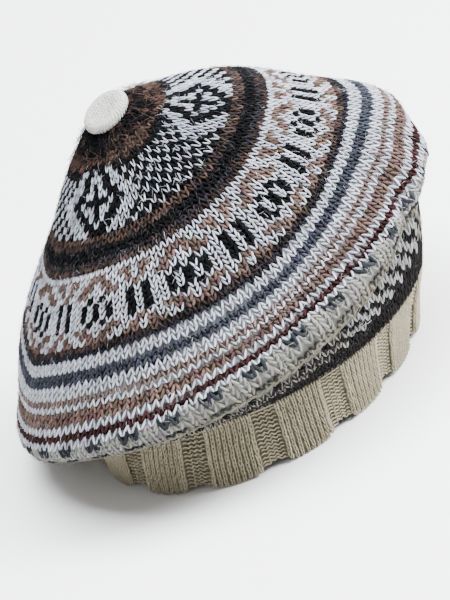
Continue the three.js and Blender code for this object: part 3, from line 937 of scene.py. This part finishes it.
bandPieces = {"bandKnitStitches": (False, "strand"), "bandPurlStitches": (True, "purlStrand")}
for name, (purlSide, strandKey) in bandPieces.items():
    band = growStrands(name, bandStrands(bandLook, purlSide), bandLook[strandKey], bandYarn)
    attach(band, "root")
    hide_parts("rib_band")
    print(name, len(band.data.polygons), "faces")


# ---- covered button on the tip

buttonLook = {
    # the button's body is darker than its strands: painted shade between the strands
    "lean": (-0.33, -0.22, 1.0), "shift": (1.2, 0.1, -0.6), "shade": "offWhite", "bodyPaintedShade": 0.9,
    "profile": [  # radius and height
        (8.8, 0.0), (10.7, 0.7), (11.8, 2.2), (11.6, 3.7), (10.4, 4.75), (8.9, 5.0), (7.0, 4.65), (3.8, 4.25),
        (1.8, 4.15),
    ],
    "topHeight": 4.1,
    "wobbles": [(3, 0.012, 1), (7, 0.008, 0)],  # waves round the edge, their share of the radius, their start
    "segments": 72, "stitch": 2.7, "pitch": 2.1,
    "columns": range(-5, 6),
    "rows": range(-6, 7),
    "foot": (0.12, -0.6, 0.05),  # a stitch leg's ends, in stitches aside, rows up and millimetres out
    "head": (0.38, 0.7, -0.15), "faceRadius": 9.4, "unevenness": 0.22, "rimStrands": 40,
    "rimTurns": [(11.3, 0.9), (11.75, 3.1), (10.1, 4.85)],  # radius and height along the edge's cord
    "rimSlant": 0.13, "faceSize": (0.50, 0.30), "rimSize": (0.72, 0.60), "overlap": 0.15, "change": 0.05,
    "seed": 5,
    "strand": {"Sides": 6, "Rings": 5, "Bend": 0.25, "Fullness": 0.3},
}


def buttonHeight(radius):
    middle = buttonLook["topHeight"]
    top = [(r, h) for r, h in buttonLook["profile"] if h > middle] + [(0, middle)]
    return np.interp(radius, *np.array(top[::-1]).T)


up = Vector(buttonLook["lean"]).normalized()
buttonTurn = np.array(Vector((0, 0, 1)).rotation_difference(up).to_matrix())
buttonSeat = surfacePoint(hat["tipRow"], 0.0) + np.array(buttonLook["shift"])


def onButton(points):
    return np.asarray(points) @ buttonTurn.T + buttonSeat


def buttonBody():
    count = buttonLook["segments"]
    angle = 2 * math.pi * np.arange(count) / count
    wobble = 1 + sum(share * np.sin(waves * angle + start) for waves, share, start in buttonLook["wobbles"])
    around = np.stack([wobble * np.cos(angle), wobble * np.sin(angle)], 1)
    rings = [np.column_stack([r * around, np.full(count, h)]) for r, h in buttonLook["profile"]]
    points = np.concatenate(rings + [np.array([[0, 0, 0.0], [0, 0, buttonLook["topHeight"]]])])
    bottom, top = len(points) - 2, len(points) - 1
    last = (len(rings) - 1) * count
    faces = []
    for step in range(count):
        follow = (step + 1) % count
        for low in range(0, last, count):
            faces.append((low + step, low + follow, low + count + follow, low + count + step))
        faces += [(follow, step, bottom), (last + step, last + follow, top)]
    # painted shade: the body seen between the strands is darkened
    shade = shadeColors[buttonLook["shade"]] * buttonLook["bodyPaintedShade"]
    mesh = paintedMesh("buttonBody", onButton(points), faces, np.repeat(shade[None], len(faces), 0))
    return addObject("buttonBody", mesh)


def buttonStrands(look):
    random = np.random.default_rng(look["seed"])
    legs = []  # lower end, upper end, face and size
    for j in look["rows"]:
        for i in look["columns"]:
            for side in (-1, 1):
                ends = []
                for aside, up, out in (look["foot"], look["head"]):
                    at = np.array([(i + aside * side) * look["stitch"], (j + up) * look["pitch"]])
                    at = at + random.normal(0, look["unevenness"], 2)
                    ends.append([*at, buttonHeight(np.hypot(*at)) + out])
                if max(np.hypot(*end[:2]) for end in ends) > look["faceRadius"]:
                    continue
                legs.append((*ends, [0, 0, -side], look["faceSize"]))
    for step in range(look["rimStrands"]):
        turn = 2 * math.pi * step / look["rimStrands"]
        for start, (near, far) in enumerate(zip(look["rimTurns"], look["rimTurns"][1:])):
            a, b = turn + start * look["rimSlant"], turn + (start + 1) * look["rimSlant"]
            low = [near[0] * math.cos(a), near[0] * math.sin(a), near[1]]
            high = [far[0] * math.cos(b), far[0] * math.sin(b), far[1]]
            legs.append((low, high, [math.cos(a), math.sin(a), start], look["rimSize"]))
    low, high, face, size = (np.array(each) for each in zip(*legs))
    scatter = 1 + random.normal(0, look["change"], (3, len(low)))
    tone = 1 + random.normal(0, look["change"], (len(low), 1))
    color = shadeColors[look["shade"]] * tone
    return strandsBetween(
        onButton(low), onButton(high), face @ buttonTurn.T, *size.T, look["overlap"], scatter, color,
    )


button = buttonBody()
button.data.materials.append(buttonYarn)
cover = growStrands("buttonCover", buttonStrands(buttonLook), buttonLook["strand"], buttonYarn)
for piece in (button, cover):
    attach(piece, "root")
    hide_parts("top_button")
print("button", len(cover.data.polygons), "faces")


# ---- floor, light and camera

stage = {
    "floorSize": 14.0, "floorColor": (0.93, 0.93, 0.93, 1), "floorRoughness": 0.9,
    "worldColor": (1.0, 0.99, 0.975, 1), "worldStrength": 0.6, "lampAim": (0, 0, 0.08),
    "keyEnergy": 260.0, "keyPlace": (1.9, -0.4, 1.65), "keySize": 1.4, "topEnergy": 300.0,
    "lightColor": (0.94, 0.97, 1.0), "topPlace": (0.35, 0.25, 2.6), "topSize": 2.4,
    "cameraTurn": 0.4045,  # radians above the horizon
    "cameraRoll": 0.42863, "cameraHeight": 80, "cameraDistance": 1778.14, "photoPixels": 600,
    "focalPixels": 3851.43, "aimPixels": (35.855, 63.767),
}

half = stage["floorSize"] * 500  # millimetres
corners = [(-half, -half, 0), (half, -half, 0), (half, half, 0), (-half, half, 0)]
floor = addObject("paleFloor", plainMesh("paleFloor", corners, [(0, 1, 2, 3)]))
floorMaterial = bpy.data.materials.new("paleFloor")
floorMaterial.use_nodes = True
feedNode(floorMaterial.node_tree.nodes["Principled BSDF"], {
    "Base Color": stage["floorColor"], "Roughness": stage["floorRoughness"],
})
floor.data.materials.append(floorMaterial)

world = bpy.data.worlds.new("softSky")
bpy.context.scene.world = world
world.use_nodes = True
feedNode(world.node_tree.nodes["Background"], {
    "Color": stage["worldColor"], "Strength": stage["worldStrength"],
})

for name in ("key", "top"):
    light = bpy.data.lights.new(name + "Light", "AREA")
    light.energy = stage[name + "Energy"]
    light.size = stage[name + "Size"]
    light.color = stage["lightColor"]
    lamp = addObject(name + "Light", light)
    lamp.location = stage[name + "Place"]
    lamp.rotation_mode = "QUATERNION"
    lamp.rotation_quaternion = (Vector(stage["lampAim"]) - lamp.location).to_track_quat("-Z", "Y")

turn, roll = stage["cameraTurn"], stage["cameraRoll"]
forward = Vector((0, math.cos(turn), -math.sin(turn)))
upright = Vector((0, math.sin(turn), math.cos(turn)))
across = Vector((1, 0, 0))
imageRight = across * math.cos(roll) - upright * math.sin(roll)
imageUp = across * math.sin(roll) + upright * math.cos(roll)
aimRight, aimDown = (pixels / stage["focalPixels"] for pixels in stage["aimPixels"])
aim = (forward + imageRight * aimRight - imageUp * aimDown).normalized()
side = (imageRight - aim * imageRight.dot(aim)).normalized()
camera = bpy.data.cameras.new("photoCamera")
camera.sensor_width = 36.0
camera.lens = stage["focalPixels"] / stage["photoPixels"] * camera.sensor_width
camera.clip_start = 0.05
camera.clip_end = 60.0
cameraObject = addObject("photoCamera", camera)
middle = Vector((*hat["middle"], 0))
eye = (Vector((0, 0, stage["cameraHeight"])) - forward * stage["cameraDistance"] - middle) * 0.001
turned = Matrix((side, (-aim).cross(side), -aim)).transposed()
cameraObject.matrix_world = Matrix.Translation(eye) @ turned.to_4x4()
bpy.context.scene.camera = cameraObject
print("stage set")
